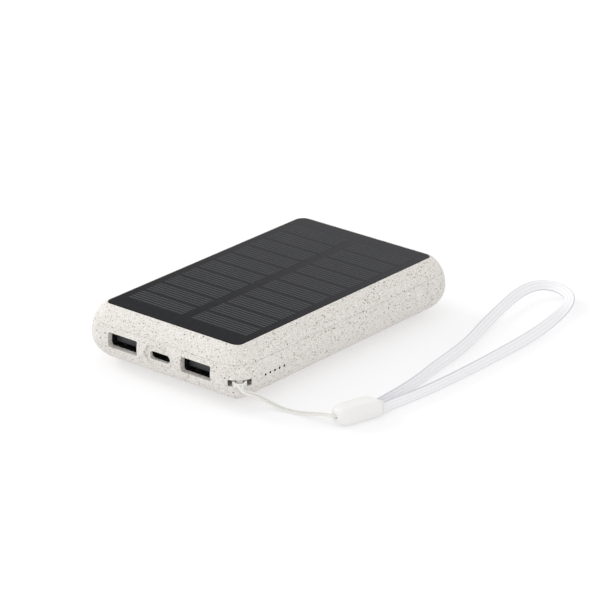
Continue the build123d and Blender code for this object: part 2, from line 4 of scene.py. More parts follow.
import bpy
import numpy as np
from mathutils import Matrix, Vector


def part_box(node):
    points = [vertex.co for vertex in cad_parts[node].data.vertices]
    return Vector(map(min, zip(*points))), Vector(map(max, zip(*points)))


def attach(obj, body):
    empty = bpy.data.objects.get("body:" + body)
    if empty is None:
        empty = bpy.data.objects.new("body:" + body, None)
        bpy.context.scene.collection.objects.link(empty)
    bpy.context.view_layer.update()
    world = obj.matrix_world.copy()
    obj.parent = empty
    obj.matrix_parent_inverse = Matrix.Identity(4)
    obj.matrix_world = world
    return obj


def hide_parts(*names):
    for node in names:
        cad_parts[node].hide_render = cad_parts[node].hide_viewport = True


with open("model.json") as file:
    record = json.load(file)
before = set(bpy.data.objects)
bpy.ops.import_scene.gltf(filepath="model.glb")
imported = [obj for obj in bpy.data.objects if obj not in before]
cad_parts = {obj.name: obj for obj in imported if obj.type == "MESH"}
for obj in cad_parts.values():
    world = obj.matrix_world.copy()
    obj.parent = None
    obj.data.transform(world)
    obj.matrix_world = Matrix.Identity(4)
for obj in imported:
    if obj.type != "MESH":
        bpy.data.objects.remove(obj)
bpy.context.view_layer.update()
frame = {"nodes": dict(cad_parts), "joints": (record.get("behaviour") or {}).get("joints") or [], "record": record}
scene = bpy.context.scene

MM = 0.001
CASE_BODY = "case"
LANYARD_BODY = "lanyard"


# ---------------------------------------------------------------- camera
def make_camera():
    """The camera at the photograph's viewpoint, a long way off with a long lens."""
    data = bpy.data.cameras.new("camera")
    data.lens = 196.07
    data.sensor_width = 36.0
    data.clip_start = 0.01
    camera = bpy.data.objects.new("camera", data)
    camera.location = (0.64826, -0.76263, 0.42563)
    camera.rotation_euler = (math.radians(67.579), 0.0, math.radians(39.826))
    scene.collection.objects.link(camera)
    scene.camera = camera


make_camera()


# ---------------------------------------------------------------- mesh helpers
def mesh_from(name, vertices, faces, smooth=True):
    mesh = bpy.data.meshes.new(name)
    mesh.from_pydata([tuple(v) for v in vertices], [], faces)
    mesh.polygons.foreach_set("use_smooth", [smooth] * len(mesh.polygons))
    mesh.update()
    piece = bpy.data.objects.new(name, mesh)
    scene.collection.objects.link(piece)
    return piece


def bridge_rings(ring_count, ring_size):
    """Quads between rings of points, and one many-sided cap on each end."""
    faces = []
    for ring in range(ring_count - 1):
        here = ring * ring_size
        there = here + ring_size
        for k in range(ring_size):
            after = (k + 1) % ring_size
            faces.append((here + k, here + after, there + after, there + k))
    faces.append(tuple(reversed(range(ring_size))))
    last = (ring_count - 1) * ring_size
    faces.append(tuple(range(last, last + ring_size)))
    return faces


def route_line(name, points):
    """The points of a smooth cord's own line: a NURBS spline that a listed route controls."""
    curve = bpy.data.curves.new(name, "CURVE")
    curve.dimensions = "3D"
    spline = curve.splines.new("NURBS")
    spline.points.add(len(points) - 1)
    for control, place in zip(spline.points, points):
        control.co = (*place, 1.0)
    spline.order_u = 3
    spline.use_endpoint_u = True
    spline.resolution_u = 16
    holder = bpy.data.objects.new(name, curve)
    scene.collection.objects.link(holder)
    bpy.context.view_layer.update()
    mesh = bpy.data.meshes.new_from_object(holder)
    line = np.array([v.co[:] for v in mesh.vertices])
    bpy.data.objects.remove(holder)
    bpy.data.meshes.remove(mesh)
    bpy.data.curves.remove(curve)
    return line


def evenly(line, spacing):
    """The same line with points at an even spacing, and how far along it each one is.

    The first three columns are the place; any others are carried along with it.
    """
    steps = np.linalg.norm(np.diff(line[:, :3], axis=0), axis=1)
    along = np.concatenate(([0.0], np.cumsum(steps)))
    count = max(2, int(round(along[-1] / spacing)) + 1)
    stations = np.linspace(0.0, along[-1], count)
    columns = [np.interp(stations, along, column) for column in line.T]
    return np.stack(columns, axis=1), stations


def tangents_of(places):
    tangents = np.gradient(places, axis=0)
    return tangents / np.linalg.norm(tangents, axis=1, keepdims=True)


def carried_frames(places):
    """Two directions across the line at each point, carried along it without twisting."""
    tangents = tangents_of(places)
    side = np.cross(tangents[0], (0.0, 0.0, 1.0))
    side /= np.linalg.norm(side)
    sides = []
    for tangent in tangents:
        side = side - tangent * np.dot(side, tangent)
        side /= np.linalg.norm(side)
        sides.append(side.copy())
    sides = np.array(sides)
    return sides, np.cross(tangents, sides)


# ---------------------------------------------------------------- lanyard
CORD_DIAMETER = 0.9 * MM
CORD_SPACING = 1.0 * MM  # between the middles of its two legs
POST = next(j["pos_m"] for j in frame["joints"] if j["name"] == "lanyard_swing")
POST_ANGLE = math.radians(-43.0)
HITCH_SIZE = 2.0 * MM
HITCH_HEIGHT = 9.0 * MM
# Midway between the cord's two legs, from the clasp to the post: x, y, z, and the tilt of one
# leg over the other (0 side by side, 90 one above the other).
CORD_MIDDLE = [
    (0.06250, -0.04110, 0.00330, 0),
    (0.06130, -0.04300, 0.00330, 0),
    (0.05880, -0.04270, 0.00290, 0),
    (0.05560, -0.04230, 0.00210, 0),
    (0.05220, -0.04250, 0.00130, 0),
    (0.04860, -0.04320, 0.00075, 0),
    (0.04490, -0.04385, 0.00055, 0),
    (0.04170, -0.04460, 0.00085, 10),
    (0.03930, -0.04540, 0.00170, 25),
    (0.03750, -0.04680, 0.00300, 40),
    (0.03640, -0.04850, 0.00450, 50),
    (0.03560, -0.05050, 0.00580, 55),
    (0.03510, -0.05250, 0.00680, 45),
    (0.03450, -0.05460, 0.00780, 20),
    (0.03385, -0.05485, 0.00930, 0),
]
# The cord's turn round the post: outward from the post and across, in hitch sizes.
POST_TURN = [(1, 0.25), (1, 1), (-1, 1), (-1, -1), (1, -1), (1, -0.25)]
# The hitch's crossing loop: outward from the post and across, in hitch sizes, and the rise.
CROSSING = [
    (-0.75, -0.75, 0.85 * MM),
    (-0.20, -1.05, 0.85 * MM),
    (1.10, -0.85, 0.70 * MM),
    (1.50, 0.00, 0.45 * MM),
    (1.10, 0.85, 0.70 * MM),
    (-0.20, 1.05, 0.85 * MM),
    (-0.75, 0.75, 0.85 * MM),
]
STRANDS = 4
STRAND_RADIUS = 0.21 * MM
LAY_LENGTH = 3.2 * MM
CORD_STEP = 0.2 * MM
STRAP_STEP = 0.5 * MM
STRAP_WIDTH = 3.7 * MM
STRAP_THICKNESS = 1.1 * MM
# Shares of the strap's half-thickness: between its ribs, a rib's rise and a selvedge's rise.
STRAP_GROUND = 0.62
RIB_RISE = 0.10
SELVEDGE_RISE = 0.10
SELVEDGE_PLACE = 0.88  # in half-widths from the strap's middle
SELVEDGE_SPREAD = 0.07
# x, y, z and lean: 0 upright, 90 flat with its upper edge outward, 180 upright the other way up.
STRAP_ROUTE = [
    (0.0643, -0.0282, 0.00230, 0),
    (0.0649, -0.0254, 0.00230, 0),
    (0.0643, -0.0200, 0.00210, 0),
    (0.0639, -0.0120, 0.00200, 5),
    (0.0629, -0.0017, 0.00200, 14),
    (0.0611, 0.0083, 0.00215, 22),
    (0.0599, 0.0175, 0.00230, 27),
    (0.0584, 0.0274, 0.00240, 30),
    (0.0562, 0.0364, 0.00255, 32),
    (0.0534, 0.0450, 0.00265, 33),
    (0.0508, 0.0545, 0.00275, 34),
    (0.0480, 0.0650, 0.00290, 36),
    (0.0461, 0.0735, 0.00310, 38),
    (0.0456, 0.0805, 0.00340, 40),
    (0.0469, 0.0856, 0.00350, 42),
    (0.0506, 0.0882, 0.00350, 45),
    (0.0552, 0.0882, 0.00330, 50),
    (0.0594, 0.0864, 0.00290, 58),
    (0.0625, 0.0828, 0.00245, 75),
    (0.0646, 0.0772, 0.00215, 100),
    (0.0666, 0.0690, 0.00205, 122),
    (0.0687, 0.0580, 0.00200, 140),
    (0.0697, 0.0460, 0.00195, 155),
    (0.0700, 0.0340, 0.00195, 165),
    (0.0703, 0.0210, 0.00195, 172),
    (0.0702, 0.0070, 0.00195, 178),
    (0.0698, -0.0050, 0.00195, 180),
    (0.0689, -0.0145, 0.00195, 180),
    (0.0680, -0.0210, 0.00210, 180),
    (0.0682, -0.0254, 0.00230, 180),
    (0.0676, -0.0289, 0.00230, 180),
]
CLASP_ANGLE = math.radians(74.5)
CLASP_HALF_LENGTH = 8.1 * MM
CLASP_HALF_WIDTH = 4.0 * MM
CLASP_SHIFT = 0.9 * MM  # toward the cord
CLASP_SLANT = 1.1 * MM  # how much of the strap's end is cut away on one side
# (place along, width, height, squareness), from inside the cord hole to inside the strap slot
CLASP_STATIONS = [
    (-0.90, 0.12, 0.12, 2.0),
    (-0.96, 0.17, 0.16, 2.0),
    (-0.99, 0.19, 0.18, 2.0),
    (-1.00, 0.24, 0.23, 2.1),
    (-0.998, 0.40, 0.47, 2.2),
    (-0.98, 0.54, 0.62, 2.4),
    (-0.93, 0.70, 0.77, 2.6),
    (-0.85, 0.84, 0.88, 2.8),
    (-0.74, 0.94, 0.955, 3.0),
    (-0.60, 0.985, 0.99, 3.2),
    (-0.40, 1.00, 1.00, 3.3),
    (0.00, 1.00, 1.00, 3.4),
    (0.45, 1.00, 1.00, 3.4),
    (0.70, 0.995, 0.99, 3.4),
    (0.84, 0.975, 0.965, 3.4),
    (0.93, 0.935, 0.92, 3.4),
    (0.98, 0.885, 0.86, 3.4),
    (1.00, 0.82, 0.79, 3.6),
    (0.995, 0.76, 0.72, 4.0),
    (0.97, 0.72, 0.67, 4.6),
    (0.90, 0.70, 0.65, 5.0),
    (0.70, 0.68, 0.63, 5.0),
]
LIP_PLACE = (0.25 * MM, 1.75 * MM, -0.4 * MM)  # past the strap's end, across and up
LIP_SIZE = (1.35 * MM, 2.05 * MM)  # half-width and half-height of the oval lip
LIP_THICKNESS = 0.42 * MM


def round_post(out, aside):
    """A place beside the post, measured outward from the case and across."""
    x = HITCH_SIZE * (out * math.cos(POST_ANGLE) - aside * math.sin(POST_ANGLE))
    y = HITCH_SIZE * (out * math.sin(POST_ANGLE) + aside * math.cos(POST_ANGLE))
    return POST[0] + x, POST[1] + y


def cord_route():
    """The whole loop of cord: along one leg, round the post and back along the other leg."""
    first_leg, second_leg = [], []
    for index, (x, y, z, tilt) in enumerate(CORD_MIDDLE):
        before = CORD_MIDDLE[max(0, index - 1)]
        after = (CORD_MIDDLE + [POST])[index + 1]
        heading = math.atan2(after[1] - before[1], after[0] - before[0])
        sideways = CORD_SPACING / 2 * math.cos(math.radians(tilt))
        rise = CORD_SPACING / 2 * math.sin(math.radians(tilt))
        step = (sideways * math.sin(heading), -sideways * math.cos(heading))
        first_leg.append((x + step[0], y + step[1], z + rise))
        second_leg.append((x - step[0], y - step[1], z - rise))
    loop = [(*round_post(out, aside), HITCH_HEIGHT) for out, aside in POST_TURN]
    return first_leg + loop + second_leg[::-1]


def crossing_route():
    """The bight of the hitch: it passes over both legs, outside the post, and back behind it."""
    return [(*round_post(out, aside), HITCH_HEIGHT + rise) for out, aside, rise in CROSSING]


def lay_strands(places, stations):
    """Points and faces of strands laid round each other along a line, and each point's depth."""
    ring_size = 8
    lay_radius = CORD_DIAMETER / 2 - STRAND_RADIUS
    sides, ups = carried_frames(places)
    turns = np.linspace(0.0, 2 * math.pi, ring_size, endpoint=False)
    vertices, faces, depths = [], [], []
    for strand in range(STRANDS):
        angles = 2 * math.pi * (stations / LAY_LENGTH + strand / STRANDS)
        middles = places + lay_radius * (np.cos(angles)[:, None] * sides + np.sin(angles)[:, None] * ups)
        first = len(vertices)
        for middle, place, side, up in zip(middles, places, sides, ups):
            for turn in turns:
                vertices.append(middle + STRAND_RADIUS * (math.cos(turn) * side + math.sin(turn) * up))
                depths.append(np.linalg.norm(vertices[-1] - place) / (CORD_DIAMETER / 2))
        for face in bridge_rings(len(middles), ring_size):
            faces.append(tuple(first + corner for corner in face))
    return vertices, faces, depths


def make_cord():
    """The thin cord: strands laid round each other along the loop and the hitch's bight."""
    places, stations = evenly(route_line("cord_line", cord_route()), CORD_STEP)
    bight, bight_stations = evenly(route_line("bight_line", crossing_route()), CORD_STEP)
    vertices, faces, depths = [], [], []
    for line, along in ((places, stations), (bight, bight_stations)):
        first = len(vertices)
        points, quads, radii = lay_strands(line, along)
        vertices += points
        depths += radii
        faces += [tuple(first + corner for corner in quad) for quad in quads]
    cord = mesh_from("lanyard_cord_strands", vertices, faces)
    layer = cord.data.attributes.new("lay_depth", "FLOAT", "POINT")
    layer.data.foreach_set("value", depths)
    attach(cord, LANYARD_BODY)
    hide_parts("lanyard_cord")
    return cord, places, stations[-1]


def strap_profile():
    """Half-thickness of the woven strap across its width: ribs between two thicker edges."""
    across = np.linspace(-1.0, 1.0, 33)
    ribs = RIB_RISE * np.cos(across * math.pi * 1.5) ** 2
    from_selvedge = (np.abs(across) - SELVEDGE_PLACE) / SELVEDGE_SPREAD
    edges = SELVEDGE_RISE * np.exp(-(from_selvedge**2))
    rounding = np.sqrt(np.clip(1.0 - np.abs(across) ** 14, 0.0, 1.0))
    half = (STRAP_GROUND + ribs + edges) * rounding
    upper = [(a, h) for a, h in zip(across, half)]
    lower = [(a, -h) for a, h in zip(across[::-1][1:-1], half[::-1][1:-1])]
    return np.array(upper + lower)


def make_strap():
    """The flat woven wrist strap: on its edge at the clasp, rolling over at its far end."""
    line = route_line("strap_line", [row[:3] for row in STRAP_ROUTE])
    leans = [(index, math.radians(row[3]), 0) for index, row in enumerate(STRAP_ROUTE)]
    roll = route_line("strap_lean", leans)
    stretches, stations = evenly(np.column_stack((line, roll[:, 1])), STRAP_STEP)
    places, leans = stretches[:, :3], stretches[:, 3]
    outwards = np.cross((0.0, 0.0, 1.0), tangents_of(places))
    outwards /= np.linalg.norm(outwards, axis=1, keepdims=True)
    up = np.array((0.0, 0.0, 1.0))
    vertices, weave = [], []
    for place, outward, lean, station in zip(places, outwards, leans, stations):
        wide = up * math.cos(lean) + outward * math.sin(lean)
        thick = outward * math.cos(lean) - up * math.sin(lean)
        for across, half in strap_profile():
            offset = wide * (across * STRAP_WIDTH / 2) + thick * (half * STRAP_THICKNESS / 2)
            vertices.append(place + offset)
            weave.append((station / MM, across * STRAP_WIDTH / MM / 2, half))
    faces = bridge_rings(len(places), len(strap_profile()))
    strap = mesh_from("wrist_strap_ribbon", vertices, faces)
    layer = strap.data.attributes.new("weave", "FLOAT_VECTOR", "POINT")
    layer.data.foreach_set("vector", np.array(weave).ravel())
    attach(strap, LANYARD_BODY)
    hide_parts("wrist_strap")
    return strap, places, stations[-1]


def oval_ring(middle, across, up, half_width, half_height, thickness):
    """Points and faces of a round-sectioned oval ring."""
    around, section = 40, 10
    axis = across.cross(up)
    vertices, faces = [], []
    for k in range(around):
        turn = 2 * math.pi * k / around
        outward = across * math.cos(turn) + up * math.sin(turn)
        place = middle + across * (half_width * math.cos(turn)) + up * (half_height * math.sin(turn))
        for m in range(section):
            roll = 2 * math.pi * m / section
            vertices.append(place + (outward * math.cos(roll) + axis * math.sin(roll)) * thickness)
    for k in range(around):
        for m in range(section):
            here, there = k * section, (k + 1) % around * section
            after = (m + 1) % section
            faces.append((here + m, there + m, there + after, here + after))
    return vertices, faces


def make_clasp():
    """The moulded block between cord and strap: a rounded barrel with a cord hole and a strap slot."""
    low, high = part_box("lanyard_clasp")
    along = Vector((math.cos(CLASP_ANGLE), math.sin(CLASP_ANGLE), 0))
    middle = (low + high) / 2 - along * CLASP_SHIFT
    across = Vector((math.sin(CLASP_ANGLE), -math.cos(CLASP_ANGLE), 0))
    up = Vector((0, 0, 1))
    half_height = (high.z - low.z) / 2
    ring_size = 56
    vertices = []
    for place, width, height, squareness in CLASP_STATIONS:
        for k in range(ring_size):
            turn = 2 * math.pi * k / ring_size
            c, s = math.cos(turn), math.sin(turn)
            x = math.copysign(abs(c) ** (2 / squareness), c) * width
            z = math.copysign(abs(s) ** (2 / squareness), s) * height * half_height
            reach = place * CLASP_HALF_LENGTH + CLASP_SLANT * (x - 1) * max(0.0, place) ** 2
            vertices.append(middle + along * reach + across * (x * CLASP_HALF_WIDTH) + up * z)
    faces = bridge_rings(len(CLASP_STATIONS), ring_size)
    past, aside, above = LIP_PLACE
    lip_middle = middle + along * (CLASP_HALF_LENGTH + past) + across * aside + up * above
    lip_points, lip_faces = oval_ring(lip_middle, across, up, *LIP_SIZE, LIP_THICKNESS)
    faces += [tuple(len(vertices) + corner for corner in face) for face in lip_faces]
    clasp = mesh_from("lanyard_clasp_body", vertices + lip_points, faces)
    smooth = clasp.modifiers.new("smooth", "SUBSURF")
    smooth.levels = smooth.render_levels = 1
    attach(clasp, LANYARD_BODY)
    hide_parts("lanyard_clasp")
    return clasp


cord, cord_line, cord_length = make_cord()
strap, strap_line, strap_length = make_strap()
clasp = make_clasp()


# ---------------------------------------------------------------- solar panel
def rounded_outline(width, length, radius, steps=10):
    """Points round a rectangle with round corners, counter-clockwise."""
    outline = []
    for corner, (sx, sy) in enumerate([(1, 1), (-1, 1), (-1, -1), (1, -1)]):
        middle = (sx * (width / 2 - radius), sy * (length / 2 - radius))
        for step in range(steps + 1):
            turn = math.radians(90) * (corner + step / steps)
            outline.append((middle[0] + radius * math.cos(turn), middle[1] + radius * math.sin(turn)))
    return outline


def slab(name, outline_at, heights):
    """A closed slab whose outline at each height is outline_at(inset)."""
    vertices = []
    for height, inset in heights:
        vertices += [(x, y, height) for x, y in outline_at(inset)]
    ring_size = len(outline_at(0))
    return mesh_from(name, vertices, bridge_rings(len(heights), ring_size), smooth=False)


def boxes(name, places):
    """Many small boxes in one mesh: (x low, x high, y low, y high, z low, z high)."""
    vertices, faces = [], []
    for x0, x1, y0, y1, z0, z1 in places:
        n = len(vertices)
        vertices += [(x0, y0, z0), (x1, y0, z0), (x1, y1, z0), (x0, y1, z0)]
        vertices += [(x0, y0, z1), (x1, y0, z1), (x1, y1, z1), (x0, y1, z1)]
        faces += [(n + 3, n + 2, n + 1, n), (n + 4, n + 5, n + 6, n + 7)]
        for k in range(4):
            after = (k + 1) % 4
            faces.append((n + k, n + after, n + 4 + after, n + 4 + k))
    return mesh_from(name, vertices, faces, smooth=False)


PANEL_CORNER = 2.8 * MM
PANEL_EDGE = 0.08 * MM
CELL_ROWS = 10
GAP_SHARE = 0.08  # of each row, between it and the next
CELL_INNER_EDGE = 1.9 * MM  # from the panel's middle line
CELL_DEPTH = 0.1 * MM  # how far each cell plate reaches into the laminate
FINGERS_PER_CELL = 5
FINGER_PITCH_SHARE = 1 / 6
FINGER_WIDTH = 0.14 * MM
CELL_RISE = 0.03 * MM
FINGER_RISE = 0.02 * MM


def make_panel():
    """The laminate, and on it the cells and their thin silver fingers."""
    low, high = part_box("panel_cover")
    width, length = high.x - low.x, high.y - low.y
    top = high.z - CELL_RISE - FINGER_RISE

    def outline_at(inset):
        return rounded_outline(width - 2 * inset, length - 2 * inset, PANEL_CORNER - inset)

    heights = [(low.z, 0)]
    for turn in np.radians([0, 30, 60, 90]):
        heights.append((top - PANEL_EDGE * (1 - math.sin(turn)), PANEL_EDGE * (1 - math.cos(turn))))
    laminate = slab("panel_laminate", outline_at, heights)
    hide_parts("panel_cover")

    cells_low, cells_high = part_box("solar_cells")
    pitch = (cells_high.y - cells_low.y) / (CELL_ROWS - GAP_SHARE)
    cell_length = pitch * (1 - GAP_SHARE)
    cells, fingers = [], []
    for side in (-1, 1):
        x0, x1 = sorted((side * CELL_INNER_EDGE, side * cells_high.x))
        for row in range(CELL_ROWS):
            y0 = cells_low.y + row * pitch
            cells.append((x0, x1, y0, y0 + cell_length, top - CELL_DEPTH, top + CELL_RISE))
            for finger in range(FINGERS_PER_CELL):
                from_middle = finger - (FINGERS_PER_CELL - 1) / 2
                y = y0 + cell_length / 2 + from_middle * pitch * FINGER_PITCH_SHARE
                finger_top = top + CELL_RISE + FINGER_RISE
                fingers.append((x0, x1, y - FINGER_WIDTH / 2, y + FINGER_WIDTH / 2, top, finger_top))
    plates = boxes("cell_plates", cells)
    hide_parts("solar_cells")
    lines = boxes("cell_fingers", fingers)
    for piece in (laminate, plates, lines):
        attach(piece, CASE_BODY)
    return laminate, plates, lines


laminate, plates, finger_lines = make_panel()


# ---------------------------------------------------------------- materials
CHANNEL_RADII = (1.35 * MM, 2.3 * MM, 3.85 * MM)  # clear of the post, fully dark with painted shade, and the wall
CHANNEL_HEIGHTS = (8.95 * MM, 10.55 * MM)  # its upper part, where shade is painted since no light reaches it
LIGHT_PITCH = 2.3 * MM
LIGHT_ROW = 2.4  # half-length of the row, in pitches
LIGHT_HOLE_RADIUS = 0.43 * MM
LIGHT_BELOW_TOP = 0.8 * MM  # middle of each charge light, below the top of its package
WEFT_PITCH = 0.42  # mm
WARP_PITCH = 0.46  # mm


class Paint:
    """A material being built: its node tree, its shader and the object's coordinates."""

    def __init__(self, name, colour, roughness, metallic=0.0, **sockets):
        self.material = bpy.data.materials.new(name)
        self.material.use_nodes = True
        self.tree = self.material.node_tree
        self.shader = self.tree.nodes["Principled BSDF"]
        self.shader.inputs["Base Color"].default_value = (*colour, 1.0)
        self.shader.inputs["Roughness"].default_value = roughness
        self.shader.inputs["Metallic"].default_value = metallic
        for socket, value in sockets.items():
            self.shader.inputs[socket.replace("_", " ")].default_value = value
        self.place = self.add("ShaderNodeTexCoord").outputs["Object"]

    def add(self, kind, **inputs):
        node = self.tree.nodes.new(kind)
        for name, value in inputs.items():
            node.inputs[name.replace("_", " ")].default_value = value
        return node

    def join(self, output, socket):
        self.tree.links.new(output, socket)

    def split(self, vector=None):
        """The X, Y and Z of a vector, by name; the object's own coordinates if none is given."""
        node = self.add("ShaderNodeSeparateXYZ")
        self.join(vector or self.place, node.inputs["Vector"])
        return node.outputs

    def maths(self, operation, first, second=0.0):
        """A sum on one or two values, each of them a number or a node's output."""
        node = self.add("ShaderNodeMath")
        node.operation = operation
        for socket, value in zip(node.inputs, (first, second)):
            if isinstance(value, (int, float)):
                socket.default_value = value
            else:
                self.join(value, socket)
        return node.outputs[0]

    def stretched(self, scale, rotation=(0, 0, 0), source=None):
        node = self.add("ShaderNodeMapping")
        node.inputs["Scale"].default_value = scale
        node.inputs["Rotation"].default_value = rotation
        self.join(source or self.place, node.inputs["Vector"])
        return node.outputs["Vector"]

    def noise(self, scale, detail=3.0, source=None):
        node = self.add("ShaderNodeTexNoise", Scale=scale, Detail=detail)
        self.join(source or self.place, node.inputs["Vector"])
        return node.outputs["Fac"]

    def ramp(self, value, low, high):
        """0 below low, 1 above high."""
        node = self.add("ShaderNodeMapRange")
        node.inputs["From Min"].default_value = low
        node.inputs["From Max"].default_value = high
        self.join(value, node.inputs["Value"])
        return node.outputs["Result"]

    def blend(self, fraction, first, second):
        """A colour between two colours; each is three numbers or a node's output."""
        node = self.add("ShaderNodeMix")
        node.data_type = "RGBA"
        self.join(fraction, node.inputs[0])
        for socket, value in zip((node.inputs[6], node.inputs[7]), (first, second)):
            if isinstance(value, tuple):
                socket.default_value = (*value, 1.0)
            else:
                self.join(value, socket)
        return node.outputs[2]

    def flecks(self, scale, share, size, source=None, softness=0.35):
        """A mask of scattered flecks: a share of the cells of a grid hold one, of random size."""
        node = self.add("ShaderNodeTexVoronoi", Scale=scale)
        self.join(source or self.place, node.inputs["Vector"])
        split = self.add("ShaderNodeSeparateColor")
        self.join(node.outputs["Color"], split.inputs["Color"])
        present = self.ramp(split.outputs["Red"], 1.0 - share, 1.0 - share + 0.02)
        reach = self.maths("MULTIPLY", self.maths("ADD", split.outputs["Green"], 0.35), size)
        inside = self.maths("SUBTRACT", reach, node.outputs["Distance"])
        return self.maths("MULTIPLY", present, self.ramp(inside, 0.0, size * softness))

    def colour(self, output):
        self.join(output, self.shader.inputs["Base Color"])

    def bump(self, height, strength, distance):
        node = self.add("ShaderNodeBump", Strength=strength, Distance=distance)
        self.join(height, node.inputs["Height"])
        self.join(node.outputs["Normal"], self.shader.inputs["Normal"])

    def vary_roughness(self, value, low, high):
        node = self.add("ShaderNodeMapRange")
        node.inputs["To Min"].default_value = low
        node.inputs["To Max"].default_value = high
        self.join(value, node.inputs["Value"])
        self.join(node.outputs["Result"], self.shader.inputs["Roughness"])


def channel_painted_shade(paint):
    """1 inside the channel round the lanyard post, where shade is painted, 0 everywhere else."""
    place = paint.split()
    east = paint.maths("SUBTRACT", place["X"], POST[0])
    north = paint.maths("SUBTRACT", place["Y"], POST[1])
    squares = paint.maths("ADD", paint.maths("MULTIPLY", east, east), paint.maths("MULTIPLY", north, north))
    distance = paint.maths("SQRT", squares)
    beyond_post = paint.ramp(distance, *CHANNEL_RADII[:2])
    within_wall = paint.maths("LESS_THAN", distance, CHANNEL_RADII[2])
    above_floor = paint.maths("GREATER_THAN", place["Z"], CHANNEL_HEIGHTS[0])
    below_roof = paint.maths("LESS_THAN", place["Z"], CHANNEL_HEIGHTS[1])
    level = paint.maths("MULTIPLY", above_floor, below_roof)
    return paint.maths("MULTIPLY", level, paint.maths("MULTIPLY", within_wall, beyond_post))


def pinhole_painted_shade(paint):
    """1 inside the pinholes over the charge lights, where shade is painted, 0 everywhere else."""
    low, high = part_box("charge_leds")
    place = paint.split()
    from_middle = paint.maths("SUBTRACT", place["Y"], (low.y + high.y) / 2)
    aside = paint.maths("PINGPONG", from_middle, LIGHT_PITCH / 2)
    above = paint.maths("SUBTRACT", place["Z"], high.z - LIGHT_BELOW_TOP)
    squares = paint.maths("ADD", paint.maths("MULTIPLY", aside, aside), paint.maths("MULTIPLY", above, above))
    in_hole = paint.maths("LESS_THAN", paint.maths("SQRT", squares), LIGHT_HOLE_RADIUS)
    in_row = paint.maths("LESS_THAN", paint.maths("ABSOLUTE", from_middle), LIGHT_ROW * LIGHT_PITCH)
    this_side = paint.maths("GREATER_THAN", place["X"], 0.0)
    return paint.maths("MULTIPLY", in_hole, paint.maths("MULTIPLY", in_row, this_side))


def case_plastic():
    """Pale matte plastic filled with ground straw: fine brown, grey and white flecks, and painted shade in the
    lanyard channel and the pinholes.
    """
    paint = Paint("case_plastic", (0.68, 0.65, 0.61), 0.55, Specular_IOR_Level=0.3)
    mottle = paint.noise(260.0, 4.0)
    colour = paint.blend(paint.ramp(mottle, 0.3, 0.7), (0.718, 0.692, 0.660), (0.760, 0.736, 0.704))
    fine = paint.noise(2600.0, 2.0)
    colour = paint.blend(paint.ramp(fine, 0.42, 0.66), colour, (0.64, 0.605, 0.565))
    dense = paint.stretched((2900, 2900, 2900), (0.4, 0.2, 0.9))
    tiny = paint.stretched((3800, 3800, 3800), (0.1, 0.8, 0.3))
    small = paint.stretched((1800, 1800, 1800))
    straw = paint.stretched((1000, 2600, 2600), (0.3, 0.5, 0.6))
    husk = paint.stretched((2600, 950, 2300), (0.9, 0.1, 0.3))
    large = paint.stretched((1350, 1350, 1350), (0.2, 0.7, 0.1))
    pale = paint.stretched((2000, 2000, 2000), (0.6, 0.1, 0.5))
    layers = [
        (paint.flecks(1.0, 0.36, 0.44, tiny), (0.44, 0.40, 0.36), 0.70),
        (paint.flecks(1.0, 0.36, 0.42, dense), (0.42, 0.38, 0.34), 0.75),
        (paint.flecks(1.0, 0.30, 0.40, small), (0.46, 0.40, 0.34), 0.80),
        (paint.flecks(1.0, 0.20, 0.38, straw), (0.32, 0.25, 0.19), 0.82),
        (paint.flecks(1.0, 0.20, 0.38, husk), (0.30, 0.27, 0.24), 0.82),
        (paint.flecks(1.0, 0.16, 0.36, large), (0.15, 0.12, 0.10), 0.90),
        (paint.flecks(1.0, 0.26, 0.46, pale), (0.88, 0.86, 0.825), 0.70),
    ]
    for mask, fleck, strength in layers:
        colour = paint.blend(paint.maths("MULTIPLY", mask, strength), colour, fleck)
    # painted shade: the channel round the lanyard post is coloured dark brown
    colour = paint.blend(channel_painted_shade(paint), colour, (0.11, 0.08, 0.06))
    # painted shade: the pinholes over the charge lights are coloured near black
    colour = paint.blend(pinhole_painted_shade(paint), colour, (0.03, 0.028, 0.026))
    paint.colour(colour)
    paint.bump(paint.noise(3500.0, 3.0), 0.25, 0.06 * MM)
    paint.vary_roughness(paint.noise(900.0, 2.0), 0.48, 0.64)
    return paint.material


def painted_sheen_toward_back(paint):
    """0 at the front edge of the panel and 1 at its back edge, for the painted sheen toward the back."""
    low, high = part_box("panel_cover")
    place = paint.split()
    return paint.ramp(place["Y"], low.y, high.y)


def panel_laminate_paint():
    """Satin black laminate with a faint leathery grain, a little paler toward the back with a painted sheen."""
    paint = Paint("panel_laminate", (0.018, 0.019, 0.021), 0.5, Specular_IOR_Level=0.03)
    front = paint.blend(paint.noise(700.0, 4.0), (0.0085, 0.0090, 0.0102), (0.0150, 0.0156, 0.0172))
    # painted sheen: the laminate turns paler toward the back edge
    paint.colour(paint.blend(painted_sheen_toward_back(paint), front, (0.043, 0.043, 0.046)))
    paint.bump(paint.noise(2600.0, 4.0), 0.2, 0.04 * MM)
    paint.vary_roughness(paint.noise(500.0, 3.0), 0.42, 0.58)
    return paint.material


def cell_paint():
    """Dark silicon under resin, a little different from cell to cell, and paler toward the back with a painted
    sheen.
    """
    paint = Paint("cell_silicon", (0.022, 0.023, 0.026), 0.48, Specular_IOR_Level=0.03)
    front = paint.blend(paint.noise(120.0, 5.0), (0.0130, 0.0135, 0.0150), (0.0200, 0.0206, 0.0225))
    # painted sheen: the cells turn paler toward the back edge
    colour = paint.blend(painted_sheen_toward_back(paint), front, (0.038, 0.038, 0.042))
    grain = paint.noise(4000.0, 2.0, paint.stretched((1, 0.12, 1)))
    colour = paint.blend(paint.maths("MULTIPLY", grain, 0.3), colour, (0.048, 0.050, 0.054))
    paint.colour(colour)
    paint.bump(paint.noise(2600.0, 4.0), 0.2, 0.04 * MM)
    paint.vary_roughness(paint.noise(600.0, 3.0), 0.40, 0.56)
    return paint.material


